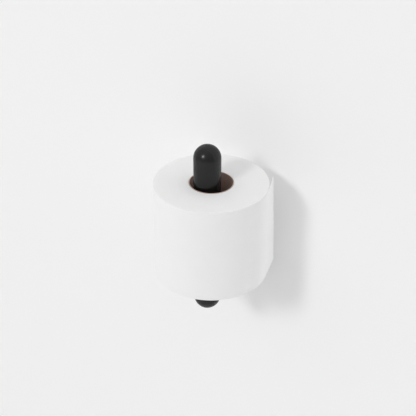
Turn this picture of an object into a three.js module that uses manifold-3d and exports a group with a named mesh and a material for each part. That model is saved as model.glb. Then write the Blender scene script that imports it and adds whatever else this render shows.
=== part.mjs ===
// Wall-mounted toilet paper holder: an upright round-ended pin on a short horizontal arm,
// with a paper roll standing on a slip ring round the pin.
//
// Millimetres, +Z up. The wall is the plane y = 0 and the room is on the -Y side.
// The origin is the centre of the wall plate's back face, level with the arm's axis.

import * as THREE from 'three';
import { mergeVertices } from 'three/addons/utils/BufferGeometryUtils.js';
import Module from 'manifold-3d';

// ---------------------------------------------------------------- driving dimensions

const FIT_GAP = 0.3;               // space left between two pieces that touch

const PIN_RADIUS = 13.4;           // pin and hub share it, so they read as one bar
const PIN_TO_WALL = 78;            // wall to the pin's axis
const PIN_ABOVE_ROLL = 42;         // pin that stands proud of the roll
const LOWER_PIN_STRAIGHT = 6.8;    // straight part of the lower pin, above its round end
const PIN_WALL = 2.5;              // wall of the upper pin's tube
const PIN_EDGE = 0.4;              // small chamfer at the pin's joints
const PLUG_HEIGHT = 18;            // plug that closes the upper pin's tube
const INSERT_RADIUS = 4.5;         // threaded insert in the lower pin
const INSERT_LENGTH = 10;

const ARM_RADIUS = 5.5;
const HUB_MARGIN = 1.6;            // hub below the arm
const SHIM_THICKNESS = 0.6;        // nylon shims that keep the coated joints apart
const SHIM_INSET = 1.2;            // shim edge, in from the pin's side

const THREAD_RADIUS = 3;           // M6 tie rod and studs
const THREAD_CLEARANCE = 0.3;
const THREAD_ENGAGEMENT = 15;      // stud length inside the arm, at each end
const HOLE_END_SPACE = 1;          // blind hole past the end of its stud
const HUB_WEB = 1.5;               // hub metal between the stud's hole and the tie rod's

const ROSETTE_RADIUS = 16.5;
const ROSETTE_DEPTH = 14;
const ROSETTE_SIDE = 3;            // side wall of the cup
const ROSETTE_FRONT = 3;           // front wall of the cup
const ROSETTE_FILLET = 2;
const GASKET_THICKNESS = 0.5;
const GASKET_INSET = 0.4;

const PLATE_THICKNESS = 4;
const PLATE_CLEARANCE = 1;         // plate edge to the inside of the cup
const WALL_SCREW_RADIUS = 1.9;     // clearance hole
const WALL_SCREW_HEAD_RADIUS = 3.8;
const WALL_SCREW_EDGE = 1.5;       // metal between a countersink and the plate's edge

const SET_SCREW_RADIUS = 2;        // M4, holds the cup on the plate
const SET_SCREW_KEY = 2;           // hexagon key, across flats
const SET_SCREW_KEY_DEPTH = 1.8;
const SET_SCREW_RECESS = 0.2;      // screw end below the cup's surface

const NUT_ACROSS_FLATS = 10;
const NUT_HEIGHT = 4;
const WASHER_RADIUS = 6;
const WASHER_THICKNESS = 1.2;

const SEAT_RADIUS = 32;            // disc that carries the roll
const SEAT_THICKNESS = 3;
const RING_MARGIN = 2;             // slip ring edge, in from the seat's edge
const RING_THICKNESS = 1.5;
const RING_CLEARANCE = 1;          // slip ring bore to the pin
const ROLL_OVER_ROSETTE = 0.7;     // the turning roll passes above the cup

const ROLL_RADIUS = 56.6;
const ROLL_HEIGHT = 100;
const ROLL_EDGE = 0.8;             // soft corner of the wound paper
const CORE_RADIUS = 21;            // inside of the cardboard core
const CORE_WALL = 0.8;
const CORE_TO_PIN = 2.5;           // nearest the core comes to the pin as the roll leans
const LEAN_ANGLE = 76;             // degrees from +X, the way the roll is shifted on its seat

const TAIL_ANGLE = 19;             // degrees from +X, where the paper leaves the roll
const TAIL_TOP = 25;               // free paper along its top edge
const TAIL_BOTTOM = 35;            // and along its bottom edge, because the tear slants
const TAIL_ROOT = 14;              // degrees of the roll that the paper's root still follows
const TAIL_THICKNESS = 0.8;

const ROUND = 48;                  // sides of a turned piece
const FINE_ROUND = 96;             // sides of the roll
const SMALL_ROUND = 24;            // sides of screws and holes

// ---------------------------------------------------------------- levels and places

const rollBottom = ROSETTE_RADIUS + ROLL_OVER_ROSETTE;
const rollTop = rollBottom + ROLL_HEIGHT;
const ringTop = rollBottom - FIT_GAP;
const ringBottom = ringTop - RING_THICKNESS;
const seatTop = ringBottom - FIT_GAP;
const seatBottom = seatTop - SEAT_THICKNESS;
const hubTop = seatBottom - FIT_GAP;
const hubBottom = -ARM_RADIUS - HUB_MARGIN;
const upperShimBottom = seatTop + FIT_GAP;
const upperPinBottom = upperShimBottom + SHIM_THICKNESS + FIT_GAP;
const upperPinTop = rollTop + PIN_ABOVE_ROLL;
const lowerShimTop = hubBottom - FIT_GAP;
const lowerPinTop = lowerShimTop - SHIM_THICKNESS - FIT_GAP;
const lowerPinBottom = lowerPinTop - LOWER_PIN_STRAIGHT - PIN_RADIUS;
const threadHole = THREAD_RADIUS + THREAD_CLEARANCE;

const pinAxis = new THREE.Vector3(0, -PIN_TO_WALL, 0);
const rollShift = CORE_RADIUS - PIN_RADIUS - CORE_TO_PIN;
const leanAngle = THREE.MathUtils.degToRad(LEAN_ANGLE);
const rollAxis = new THREE.Vector3(
  pinAxis.x + rollShift * Math.cos(leanAngle),
  pinAxis.y + rollShift * Math.sin(leanAngle),
  0,
);

// ---------------------------------------------------------------- materials

const coatedSteel = { color: 0x2e2d2e, roughness: 0.55, metalness: 0.2 };
const zincSteel = { color: 0xa9acaf, roughness: 0.35, metalness: 0.9 };
const nylon = { color: 0xe6e4dd, roughness: 0.5, metalness: 0 };
const rubber = { color: 0x1d1d1d, roughness: 0.8, metalness: 0 };
const paper = { color: 0xf1f0ee, roughness: 0.95, metalness: 0 };
const cardboard = { color: 0x8c735c, roughness: 0.9, metalness: 0 };

// ---------------------------------------------------------------- tools

const wasm = await Module();
wasm.setup();

const holder = new THREE.Group();

function add(name, geometry, finish, place = new THREE.Vector3()) {
  const mesh = new THREE.Mesh(geometry, new THREE.MeshStandardMaterial(finish));
  mesh.name = name;
  mesh.position.copy(place);
  holder.add(mesh);
}

// A closed geometry as a solid that can be cut and joined.
function solid(geometry) {
  const bare = geometry.clone();
  bare.deleteAttribute('normal');
  bare.deleteAttribute('uv');
  const merged = mergeVertices(bare, 1e-4);
  return new wasm.Manifold(new wasm.Mesh({
    numProp: 3,
    vertProperties: new Float32Array(merged.attributes.position.array),
    triVerts: new Uint32Array(merged.index.array),
  }));
}

function geometryOf(body) {
  const mesh = body.getMesh();
  const geometry = new THREE.BufferGeometry();
  geometry.setAttribute('position', new THREE.BufferAttribute(mesh.vertProperties, 3));
  geometry.setIndex(new THREE.BufferAttribute(mesh.triVerts, 1));
  geometry.computeVertexNormals();
  return geometry;
}

// A body with others cut out of it.
function cut(geometry, ...tools) {
  let body = solid(geometry);
  for (const tool of tools) {
    body = body.subtract(solid(tool));
  }
  return geometryOf(body);
}

// Profile points are [radius, height], walked with the material on the left.
function turned(profile, sides = ROUND) {
  const points = profile.map(([radius, height]) => new THREE.Vector2(radius, height));
  return new THREE.LatheGeometry(points, sides);
}

// Lathe axis onto +Z.
function upright(geometry) {
  return geometry.rotateX(Math.PI / 2);
}

// Lathe axis onto -Y, so that a height is a distance from the wall.
function outFromWall(geometry) {
  return geometry.rotateX(Math.PI);
}

// A quarter circle of profile points about a centre, between two angles in degrees.
function arc(centreRadius, centreHeight, radius, from, to, steps) {
  const points = [];
  for (let step = 0; step <= steps; step += 1) {
    const angle = THREE.MathUtils.degToRad(from + (to - from) * step / steps);
    points.push([centreRadius + radius * Math.cos(angle), centreHeight + radius * Math.sin(angle)]);
  }
  return points;
}

// A solid bar between two heights of its own axis.
function bar(radius, low, high, sides = SMALL_ROUND) {
  return new THREE.CylinderGeometry(radius, radius, high - low, sides)
    .translate(0, (low + high) / 2, 0);
}

// A square-edged ring between two heights of its own axis.
function ring(inner, outer, low, high, sides = ROUND) {
  return turned([[inner, low], [outer, low], [outer, high], [inner, high], [inner, low]], sides);
}

function hexagon(acrossFlats) {
  const corner = acrossFlats / Math.sqrt(3);
  const points = [];
  for (let side = 0; side < 6; side += 1) {
    const angle = side * Math.PI / 3;
    points.push(new THREE.Vector2(corner * Math.cos(angle), corner * Math.sin(angle)));
  }
  return new THREE.Shape(points);
}

// ---------------------------------------------------------------- wall fixing

const cupInside = ROSETTE_RADIUS - ROSETTE_SIDE;
const cupFloor = ROSETTE_DEPTH - ROSETTE_FRONT;
const cupRim = GASKET_THICKNESS + FIT_GAP;
const plateRadius = cupInside - PLATE_CLEARANCE;
const setScrewDistance = PLATE_THICKNESS / 2 + cupRim;

function makeWallPlate() {
  const plate = bar(plateRadius, 0, PLATE_THICKNESS, ROUND);
  const spacing = plateRadius - WALL_SCREW_HEAD_RADIUS - WALL_SCREW_EDGE;
  const countersink = WALL_SCREW_HEAD_RADIUS - WALL_SCREW_RADIUS;
  const holes = [-spacing, spacing].map((x) => turned([
    [0, -1],
    [WALL_SCREW_RADIUS, -1],
    [WALL_SCREW_RADIUS, PLATE_THICKNESS - countersink],
    [WALL_SCREW_HEAD_RADIUS, PLATE_THICKNESS],
    [WALL_SCREW_HEAD_RADIUS, PLATE_THICKNESS + 1],
    [0, PLATE_THICKNESS + 1],
  ], SMALL_ROUND).translate(x, 0, 0));
  return outFromWall(cut(plate, ...holes));
}

function makeRosette() {
  const cup = turned([
    [cupInside, cupRim],
    [ROSETTE_RADIUS, cupRim],
    ...arc(ROSETTE_RADIUS - ROSETTE_FILLET, ROSETTE_DEPTH - ROSETTE_FILLET, ROSETTE_FILLET, 0, 90, 5),
    [threadHole, ROSETTE_DEPTH],
    [threadHole, cupFloor],
    [cupInside, cupFloor],
    [cupInside, cupRim],
  ]);
  const screwHole = bar(SET_SCREW_RADIUS + FIT_GAP, cupInside - 2, ROSETTE_RADIUS + 2)
    .rotateX(Math.PI / 2)
    .translate(0, setScrewDistance, 0);
  return outFromWall(cut(cup, screwHole));
}

// The set screw points up from below, through the cup, to the plate's edge.
function makeSetScrew() {
  const tip = plateRadius + FIT_GAP;
  const end = ROSETTE_RADIUS - SET_SCREW_RECESS;
  const key = new THREE.ExtrudeGeometry(hexagon(SET_SCREW_KEY), {
    depth: SET_SCREW_KEY_DEPTH + 1,
    bevelEnabled: false,
  });
  key.rotateX(-Math.PI / 2).translate(0, end - SET_SCREW_KEY_DEPTH, 0);
  return cut(bar(SET_SCREW_RADIUS, tip, end), key)
    .rotateX(-Math.PI / 2)
    .translate(0, -setScrewDistance, 0);
}

function makeNut() {
  const outline = hexagon(NUT_ACROSS_FLATS);
  outline.holes.push(new THREE.Path().absarc(0, 0, threadHole, 0, 2 * Math.PI, true));
  return new THREE.ExtrudeGeometry(outline, {
    depth: NUT_HEIGHT,
    bevelEnabled: false,
    curveSegments: SMALL_ROUND,
  }).rotateX(Math.PI / 2);
}

const washerFront = cupFloor - FIT_GAP;
const washerBack = washerFront - WASHER_THICKNESS;
const nutFront = washerBack - FIT_GAP;
const nutBack = nutFront - NUT_HEIGHT;
const armStart = ROSETTE_DEPTH + FIT_GAP;

add('wall_plate', makeWallPlate(), zincSteel);
add('wall_gasket', outFromWall(
  ring(cupInside + GASKET_INSET, ROSETTE_RADIUS - GASKET_INSET, 0, GASKET_THICKNESS),
), rubber);
add('rosette', makeRosette(), coatedSteel);
add('rosette_set_screw', makeSetScrew(), zincSteel);
add('stud_washer', outFromWall(ring(threadHole, WASHER_RADIUS, washerBack, washerFront)), zincSteel);
add('stud_nut', makeNut(), zincSteel, new THREE.Vector3(0, -nutBack, 0));
add('wall_stud', outFromWall(bar(THREAD_RADIUS, nutBack, armStart + THREAD_ENGAGEMENT)), zincSteel);

// ---------------------------------------------------------------- arm and hub

const hubSide = PIN_TO_WALL - PIN_RADIUS;
const studTip = PIN_TO_WALL - threadHole - HUB_WEB - FIT_GAP;
const hubStudBack = hubSide - FIT_GAP - THREAD_ENGAGEMENT;

function makeArm() {
  const body = bar(ARM_RADIUS, armStart, PIN_TO_WALL, ROUND);
  const wallHole = bar(threadHole, armStart - 1, armStart + THREAD_ENGAGEMENT + HOLE_END_SPACE);
  const hubHole = bar(threadHole, hubStudBack - HOLE_END_SPACE, PIN_TO_WALL);
  const cope = bar(PIN_RADIUS + FIT_GAP, -2 * ARM_RADIUS, 2 * ARM_RADIUS, ROUND)
    .rotateX(Math.PI / 2)
    .translate(0, PIN_TO_WALL, 0);
  return outFromWall(cut(body, wallHole, hubHole, cope));
}

function makeHub() {
  const body = upright(turned([
    [0, hubBottom],
    [PIN_RADIUS - PIN_EDGE, hubBottom],
    [PIN_RADIUS, hubBottom + PIN_EDGE],
    [PIN_RADIUS, hubTop - PIN_EDGE],
    [PIN_RADIUS - PIN_EDGE, hubTop],
    [0, hubTop],
  ]));
  const rodHole = upright(bar(threadHole, hubBottom - 1, hubTop + 1));
  const studHole = bar(threadHole, threadHole + HUB_WEB, PIN_RADIUS + 1);
  return cut(body, rodHole, studHole);
}

add('arm', makeArm(), coatedSteel);
add('hub', makeHub(), coatedSteel, pinAxis);
add('hub_stud', outFromWall(bar(THREAD_RADIUS, hubStudBack, studTip)), zincSteel);

// ---------------------------------------------------------------- pin

const plugRadius = PIN_RADIUS - PIN_WALL - FIT_GAP;
const rodTop = upperPinBottom + PLUG_HEIGHT;
const rodBottom = lowerPinTop - INSERT_LENGTH;

function makeUpperPin() {
  const inside = PIN_RADIUS - PIN_WALL;
  const domeCentre = upperPinTop - PIN_RADIUS;
  return upright(turned([
    ...arc(0, domeCentre, inside, 90, 0, 5),
    [inside, upperPinBottom],
    [PIN_RADIUS - PIN_EDGE, upperPinBottom],
    [PIN_RADIUS, upperPinBottom + PIN_EDGE],
    ...arc(0, domeCentre, PIN_RADIUS, 0, 90, 10),
  ]));
}

function makeLowerPin() {
  const domeCentre = lowerPinBottom + PIN_RADIUS;
  const socket = INSERT_RADIUS + FIT_GAP;
  return upright(turned([
    ...arc(0, domeCentre, PIN_RADIUS, -90, 0, 10),
    [PIN_RADIUS, lowerPinTop - PIN_EDGE],
    [PIN_RADIUS - PIN_EDGE, lowerPinTop],
    [socket, lowerPinTop],
    [socket, rodBottom - HOLE_END_SPACE],
    [0, rodBottom - HOLE_END_SPACE],
  ]));
}

function shim(low) {
  return upright(ring(threadHole, PIN_RADIUS - SHIM_INSET, low, low + SHIM_THICKNESS));
}

const plug = ring(threadHole, plugRadius, upperPinBottom + FIT_GAP, upperPinBottom + PLUG_HEIGHT);
const insert = ring(threadHole, INSERT_RADIUS, rodBottom, lowerPinTop - FIT_GAP, SMALL_ROUND);

add('upper_pin', makeUpperPin(), coatedSteel, pinAxis);
add('upper_plug', upright(plug), zincSteel, pinAxis);
add('upper_shim', shim(upperShimBottom), nylon, pinAxis);
add('lower_shim', shim(lowerShimTop - SHIM_THICKNESS), nylon, pinAxis);
add('lower_pin', makeLowerPin(), coatedSteel, pinAxis);
add('lower_insert', upright(insert), zincSteel, pinAxis);
add('tie_rod', upright(bar(THREAD_RADIUS, rodBottom, rodTop)), zincSteel, pinAxis);

// ---------------------------------------------------------------- seat and slip ring

const ringInside = PIN_RADIUS + RING_CLEARANCE;
const ringOutside = SEAT_RADIUS - RING_MARGIN;

function makeSeat() {
  return upright(turned([
    [threadHole, seatBottom],
    [SEAT_RADIUS - PIN_EDGE, seatBottom],
    [SEAT_RADIUS, seatBottom + PIN_EDGE],
    [SEAT_RADIUS, seatTop - PIN_EDGE],
    [SEAT_RADIUS - PIN_EDGE, seatTop],
    [threadHole, seatTop],
    [threadHole, seatBottom],
  ]));
}

add('seat_disc', makeSeat(), coatedSteel, pinAxis);
add('slip_ring', upright(ring(ringInside, ringOutside, ringBottom, ringTop)), nylon, pinAxis);

// ---------------------------------------------------------------- roll

const paperInside = CORE_RADIUS + CORE_WALL + FIT_GAP;

function makePaperRoll() {
  return upright(turned([
    [paperInside, rollBottom],
    [ROLL_RADIUS - ROLL_EDGE, rollBottom],
    [ROLL_RADIUS, rollBottom + ROLL_EDGE],
    [ROLL_RADIUS, rollTop - ROLL_EDGE],
    [ROLL_RADIUS - ROLL_EDGE, rollTop],
    [paperInside, rollTop],
    [paperInside, rollBottom],
  ], FINE_ROUND));
}

// The sheet's root follows the roll, then the free end leaves along the tangent.
// Its torn edge slants: the sheet is longest at the bottom.
function makeTail() {
  const inner = ROLL_RADIUS + FIT_GAP;
  const outer = inner + TAIL_THICKNESS;
  const leave = THREE.MathUtils.degToRad(TAIL_ANGLE);
  const root = THREE.MathUtils.degToRad(TAIL_ANGLE - TAIL_ROOT);
  const out = new THREE.Vector3(Math.cos(leave), Math.sin(leave), 0);
  const along = new THREE.Vector3(-out.y, out.x, 0);
  const longest = Math.max(TAIL_TOP, TAIL_BOTTOM) + 1;

  const outline = new THREE.Shape();
  outline.absarc(0, 0, outer, root, leave, false);
  outline.lineTo(outer * out.x + longest * along.x, outer * out.y + longest * along.y);
  outline.lineTo(inner * out.x + longest * along.x, inner * out.y + longest * along.y);
  outline.absarc(0, 0, inner, leave, root, true);
  const sheet = new THREE.ExtrudeGeometry(outline, {
    depth: ROLL_HEIGHT,
    bevelEnabled: false,
    curveSegments: 6,
  }).translate(0, 0, rollBottom);

  // What the tear takes off, drawn in the sheet's own plane: [along the sheet, height].
  const slope = (TAIL_TOP - TAIL_BOTTOM) / ROLL_HEIGHT;
  const waste = new THREE.Shape([
    new THREE.Vector2(TAIL_BOTTOM - slope, rollBottom - 1),
    new THREE.Vector2(2 * longest, rollBottom - 1),
    new THREE.Vector2(2 * longest, rollTop + 1),
    new THREE.Vector2(TAIL_TOP + slope, rollTop + 1),
  ]);
  const tear = new THREE.ExtrudeGeometry(waste, { depth: 4 * TAIL_THICKNESS, bevelEnabled: false });
  tear.applyMatrix4(new THREE.Matrix4()
    .makeBasis(along, new THREE.Vector3(0, 0, 1), out)
    .setPosition(out.clone().multiplyScalar(inner - TAIL_THICKNESS)));
  return cut(sheet, tear);
}

add('paper_roll', makePaperRoll(), paper, rollAxis);
add('cardboard_core', upright(
  ring(CORE_RADIUS, CORE_RADIUS + CORE_WALL, rollBottom, rollTop),
), cardboard, rollAxis);
add('loose_tail', makeTail(), paper, rollAxis);

export default holder;
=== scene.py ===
"""Builds the looks of a wall-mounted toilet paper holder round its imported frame.

Everything is in metres, +Z up. The wall is the plane y = 0 and the room is on the -Y side.
"""

import math

import bmesh
import bpy
from bpy.props import FloatProperty, FloatVectorProperty, IntProperty, PointerProperty
from mathutils import Matrix, Vector, noise


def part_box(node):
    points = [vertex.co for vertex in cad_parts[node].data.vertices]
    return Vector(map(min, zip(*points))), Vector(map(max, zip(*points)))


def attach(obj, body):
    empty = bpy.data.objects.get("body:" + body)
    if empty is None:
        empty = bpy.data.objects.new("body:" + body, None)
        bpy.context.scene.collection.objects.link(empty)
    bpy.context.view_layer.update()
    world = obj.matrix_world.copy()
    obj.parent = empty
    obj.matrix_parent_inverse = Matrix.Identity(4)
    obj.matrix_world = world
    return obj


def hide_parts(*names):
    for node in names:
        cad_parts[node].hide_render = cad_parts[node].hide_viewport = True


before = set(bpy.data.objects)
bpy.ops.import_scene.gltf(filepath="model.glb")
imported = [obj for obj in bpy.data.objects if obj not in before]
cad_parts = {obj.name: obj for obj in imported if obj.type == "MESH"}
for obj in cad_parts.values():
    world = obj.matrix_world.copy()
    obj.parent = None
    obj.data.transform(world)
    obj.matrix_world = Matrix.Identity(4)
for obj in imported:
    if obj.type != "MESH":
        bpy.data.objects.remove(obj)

bl_info = {
    "name": "Toilet Paper Holder",
    "version": (1, 0, 0),
    "blender": (4, 5, 0),
    "location": "3D View > Sidebar > Paper Holder",
    "description": "Builds a wall-mounted toilet paper holder with its roll, and a small stage for it",
    "category": "Object",
}

MM = 0.001

TURNED_SIDES = 96
WIDE_SIDES = 128    # the seat and the slip ring
SMALL_SIDES = 48
FILLET_STEPS = 6
DOME_STEPS = 28
SMOOTH_BELOW = math.radians(40)


# ---------------------------------------------------------------- places read from the frame

def middle(node):
    """The centre of a CAD node's box."""
    low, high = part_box(node)
    return (low + high) / 2


def radius_of(node):
    """Half of a round upright node's width."""
    low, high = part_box(node)
    return (high.x - low.x) / 2


PIN_AXIS = middle("hub")
PIN_RADIUS = radius_of("hub")
ROLL_AXIS = middle("paper_roll")
ROLL_RADIUS = radius_of("paper_roll")
ROLL_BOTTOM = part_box("paper_roll")[0].z
ROLL_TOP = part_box("paper_roll")[1].z
ROLL_HEIGHT = ROLL_TOP - ROLL_BOTTOM
ROLL_FOOT = Vector((ROLL_AXIS.x, ROLL_AXIS.y, ROLL_BOTTOM))
CORE_OUTSIDE = radius_of("cardboard_core")
THREAD_RADIUS = radius_of("tie_rod")
JOINT_GAP = 0.3 * MM
THREAD_HOLE = THREAD_RADIUS + JOINT_GAP
HOLE_EDGE = 0.2 * MM     # rounding of the edges of holes
TIP_ROOM = 1 * MM        # room past the end of a stud or an insert


# ---------------------------------------------------------------- sizes and colours

class HolderSizes(bpy.types.PropertyGroup):
    """Sizes of the details that the frame leaves open"""

    coat_fillet: FloatProperty(
        name="Coated edge", description="Rounding of the powder coated edges",
        default=0.6 * MM, min=0.1 * MM, max=2 * MM, unit="LENGTH", precision=4)
    tube_wall: FloatProperty(
        name="Pin wall", description="Wall of the upper pin's tube",
        default=2.5 * MM, min=1 * MM, max=4 * MM, unit="LENGTH", precision=4)
    weld_flare: FloatProperty(
        name="Arm flare", description="How far the arm widens where it meets the hub",
        default=0.9 * MM, min=0.0, max=2 * MM, unit="LENGTH", precision=4)
    thread_pitch: FloatProperty(
        name="Thread pitch", description="Rise of the M6 threads in one turn",
        default=1 * MM, min=0.5 * MM, max=2 * MM, unit="LENGTH", precision=4)
    thread_depth: FloatProperty(
        name="Thread depth", description="Depth of the M6 threads",
        default=0.55 * MM, min=0.1 * MM, max=1 * MM, unit="LENGTH", precision=4)
    ply_step: FloatProperty(
        name="Paper step", description="Step of the wound paper's last layer",
        default=0.45 * MM, min=0.05 * MM, max=1 * MM, unit="LENGTH", precision=5)
    paper_edge: FloatProperty(
        name="Paper edge", description="Rounding of the roll's rims",
        default=0.35 * MM, min=0.2 * MM, max=3 * MM, unit="LENGTH", precision=4)
    paper_ruffle: FloatProperty(
        name="Paper ruffle", description="How far the layers stand up or down on the roll's ends",
        default=0.22 * MM, min=0.0, max=1 * MM, unit="LENGTH", precision=5)
    tail_top: FloatProperty(
        name="Free paper, top", description="Loose paper along its top edge",
        default=24.4 * MM, min=5 * MM, max=60 * MM, unit="LENGTH", precision=4)
    tail_bottom: FloatProperty(
        name="Free paper, bottom", description="Loose paper along its bottom edge",
        default=34.2 * MM, min=5 * MM, max=60 * MM, unit="LENGTH", precision=4)
    tail_angle: FloatProperty(
        name="Paper leaves at", description="Where the loose paper's top leaves the roll, from +X",
        default=math.radians(21), subtype="ANGLE", unit="ROTATION")
    tail_twist: FloatProperty(
        name="Paper twist", description="How much earlier the loose paper's bottom leaves the roll",
        default=math.radians(4), subtype="ANGLE", unit="ROTATION")
    board_pitch: FloatProperty(
        name="Core seam pitch", description="Rise of the core's spiral seam in one turn",
        default=62 * MM, min=20 * MM, max=120 * MM, unit="LENGTH", precision=4)
    seed: IntProperty(
        name="Seed", description="Choice of the paper's small irregularities", default=7, min=0)


class HolderColours(bpy.types.PropertyGroup):
    """Colours of the holder's finishes"""

    coat: FloatVectorProperty(
        name="Powder coat", description="Black powder coat of the pin, hub, arm and rosette",
        default=(0.0035, 0.0035, 0.0036), subtype="COLOR", min=0, max=1)
    zinc: FloatVectorProperty(
        name="Zinc plate", description="Screws, studs and wall plate",
        default=(0.58, 0.59, 0.60), subtype="COLOR", min=0, max=1)
    nylon: FloatVectorProperty(
        name="Nylon", description="Slip ring and shims",
        default=(0.78, 0.77, 0.72), subtype="COLOR", min=0, max=1)
    rubber: FloatVectorProperty(
        name="Rubber", description="Gasket against the wall",
        default=(0.02, 0.02, 0.021), subtype="COLOR", min=0, max=1)
    paper: FloatVectorProperty(
        name="Paper", description="Tissue of the roll",
        default=(0.92, 0.92, 0.918), subtype="COLOR", min=0, max=1)
    board: FloatVectorProperty(
        name="Cardboard", description="Inside of the roll's core",
        default=(0.505, 0.357, 0.298), subtype="COLOR", min=0, max=1)
    board_edge: FloatVectorProperty(
        name="Cardboard edge", description="Cut rim of the roll's core",
        default=(0.54, 0.42, 0.35), subtype="COLOR", min=0, max=1)


class HolderStage(bpy.types.PropertyGroup):
    """Camera, wall and light"""

    azimuth: FloatProperty(
        name="Azimuth", description="Camera direction round the holder, from straight in front",
        default=math.radians(34), subtype="ANGLE", unit="ROTATION")
    elevation: FloatProperty(
        name="Elevation", description="Camera height angle above the horizon",
        default=math.radians(32), subtype="ANGLE", unit="ROTATION")
    distance: FloatProperty(
        name="Distance", description="Camera to the point that it looks at",
        default=1.05, min=0.2, max=5, unit="LENGTH")
    lens: FloatProperty(
        name="Lens", description="Focal length for a 36 mm frame", default=92.9, min=20, max=300)
    aim_right: FloatProperty(
        name="Aim right", description="Point looked at, to the right of the roll's top centre",
        default=-3.15 * MM, unit="LENGTH", precision=5)
    aim_up: FloatProperty(
        name="Aim up", description="Point looked at, above the roll's top",
        default=-29.5 * MM, unit="LENGTH", precision=5)
    wall_colour: FloatVectorProperty(
        name="Wall", description="Plain painted wall and floor",
        default=(0.9, 0.9, 0.9), subtype="COLOR", min=0, max=1)
    key_power: FloatProperty(
        name="Key light", description="Power of the soft key light", default=90.0, min=0, unit="POWER")
    key_azimuth: FloatProperty(
        name="Key azimuth", description="Key light's direction from straight in front of the wall",
        default=math.radians(-8.5), subtype="ANGLE", unit="ROTATION")
    key_elevation: FloatProperty(
        name="Key elevation", description="Key light's height angle",
        default=math.radians(33), subtype="ANGLE", unit="ROTATION")
    key_distance: FloatProperty(
        name="Key distance", description="Key light to the holder", default=6.0, unit="LENGTH")
    key_size: FloatProperty(
        name="Key size", description="Diameter of the key light", default=1.26, unit="LENGTH")
    room: FloatProperty(
        name="Room light", description="Strength of the even light from all round",
        default=0.758, min=0)
    less_right: FloatProperty(
        name="Less from the right", description="Light that the room lacks on the right, along the wall",
        default=0.3, min=0)
    less_front: FloatProperty(
        name="Less from the front", description="Light that the room lacks straight in front of the wall",
        default=0.22, min=0)
    less_below: FloatProperty(
        name="Less from below", description="Light that the room lacks below",
        default=0.4, min=0)
    wall_glow: FloatProperty(
        name="Wall glow", description="Light of the wall itself, which keeps the shadow pale",
        default=0.052, min=0)


# ---------------------------------------------------------------- shader helpers

def start_material(name):
    """A new material, its node tree and its shader."""
    material = bpy.data.materials.new(name)
    material.use_nodes = True
    tree = material.node_tree
    return material, tree, tree.nodes["Principled BSDF"]


def place_input(tree, socket, value):
    """Fills one input with a value, or links another node's output to it."""
    if isinstance(value, bpy.types.NodeSocket):
        tree.links.new(value, socket)
    else:
        socket.default_value = value


def fill(tree, node, **inputs):
    """Fills a node's inputs with values or other nodes' outputs; _ in a name stands for a space."""
    for name, value in inputs.items():
        place_input(tree, node.inputs[name.replace("_", " ")], value)


def add_node(tree, kind, settings=None, **inputs):
    """A node with its settings and its inputs filled in."""
    node = tree.nodes.new(kind)
    for name, value in (settings or {}).items():
        setattr(node, name, value)
    fill(tree, node, **inputs)
    return node


def maths(tree, operation, first, second=0.0, third=0.0, clamp=False):
    """A Math node's output."""
    node = tree.nodes.new("ShaderNodeMath")
    node.operation = operation
    node.use_clamp = clamp
    for socket, value in zip(node.inputs, (first, second, third)):
        place_input(tree, socket, value)
    return node.outputs[0]


def vector_maths(tree, operation, first, second):
    """A Vector Math node's outputs."""
    node = add_node(tree, "ShaderNodeVectorMath", {"operation": operation})
    for socket, value in zip(node.inputs, (first, second)):
        place_input(tree, socket, value)
    return node.outputs


def flat_distance(tree, parts):
    """How far a point is from the Z axis."""
    squares = [maths(tree, "MULTIPLY", parts[axis], parts[axis]) for axis in "XY"]
    return maths(tree, "SQRT", maths(tree, "ADD", *squares))


def spiral_turns(tree, operation, length, pitch, angle):
    """Turns of a spiral: a length in pitches, with the angle added to it or subtracted from it."""
    return maths(tree, operation, maths(tree, "DIVIDE", length, pitch),
                 maths(tree, "DIVIDE", angle, 2 * math.pi))


def centred_coordinates(tree, centre):
    """Object coordinates measured from a point."""
    coordinates = add_node(tree, "ShaderNodeTexCoord")
    return add_node(
        tree, "ShaderNodeMapping",
        Vector=coordinates.outputs["Object"], Location=(-centre.x, -centre.y, -centre.z),
    ).outputs["Vector"]


def roll_coordinates(tree):
    """Coordinates from the roll's foot, their three parts, and the angle round the roll's axis."""
    where = centred_coordinates(tree, ROLL_FOOT)
    parts = add_node(tree, "ShaderNodeSeparateXYZ", Vector=where).outputs
    return where, parts, maths(tree, "ARCTAN2", parts["Y"], parts["X"])


def speckle(tree, where, scale, detail=3.0, roughness=0.5):
    """Noise between 0 and 1."""
    return add_node(
        tree, "ShaderNodeTexNoise",
        Vector=where, Scale=scale, Detail=detail, Roughness=roughness,
    ).outputs["Fac"]


def stretched(tree, where, up):
    """Coordinates scaled along Z."""
    return add_node(tree, "ShaderNodeMapping", Vector=where, Scale=(1, 1, up)).outputs["Vector"]


def shared(tree, first, second, share):
    """Two factors added up: a share of the first and the rest of the second."""
    return maths(tree, "ADD", maths(tree, "MULTIPLY", first, share),
                 maths(tree, "MULTIPLY", second, 1 - share))


def between(tree, factor, low, high):
    """A number that follows a factor from low to high."""
    return add_node(tree, "ShaderNodeMapRange", Value=factor, To_Min=low, To_Max=high).outputs["Result"]


def colour_between(tree, factor, first, second):
    """A colour that follows a factor from the first to the second."""
    node = add_node(tree, "ShaderNodeMix", {"data_type": "RGBA"})
    place_input(tree, node.inputs["Factor"], factor)
    for socket, value in ((node.inputs[6], first), (node.inputs[7], second)):
        place_input(tree, socket, value if isinstance(value, bpy.types.NodeSocket) else (*value, 1))
    return node.outputs[2]


def scaled(colour, amount):
    """A colour made lighter or darker."""
    return tuple(min(1.0, channel * amount) for channel in colour)


def toned(tree, factor, colour, darkest, lightest):
    """A colour that follows a factor from its darkest tone to its lightest."""
    return colour_between(tree, factor, scaled(colour, darkest), scaled(colour, lightest))


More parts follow.
